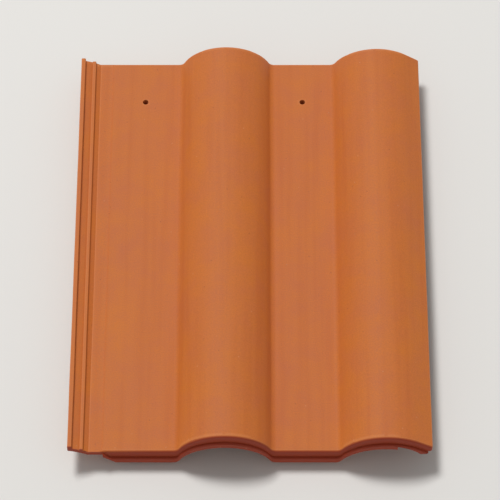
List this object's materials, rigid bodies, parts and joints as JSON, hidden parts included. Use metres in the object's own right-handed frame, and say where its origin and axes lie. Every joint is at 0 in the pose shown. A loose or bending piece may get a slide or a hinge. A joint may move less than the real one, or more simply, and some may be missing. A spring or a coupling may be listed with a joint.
{
  "type": "roof tile",
  "caption": "Interlocking double-roll clay roof tile with flat pans, a side lock, a cover roll, nibs for the batten and nail holes.",
  "frame": {"origin": "middle of the footprint, on the plane of the tail bars and nibs", "axes": "+X from the side lock to the cover roll, +Y from the tail up the slope to the head, +Z out of the weather face"},
  "size_m": [0.33, 0.42, 0.0575],
  "materials": {
    "fired_clay": "matte fired terracotta"
  },
  "bodies": {
    "root": {"roof_tile": "fired_clay"}
  },
  "joints": []
}
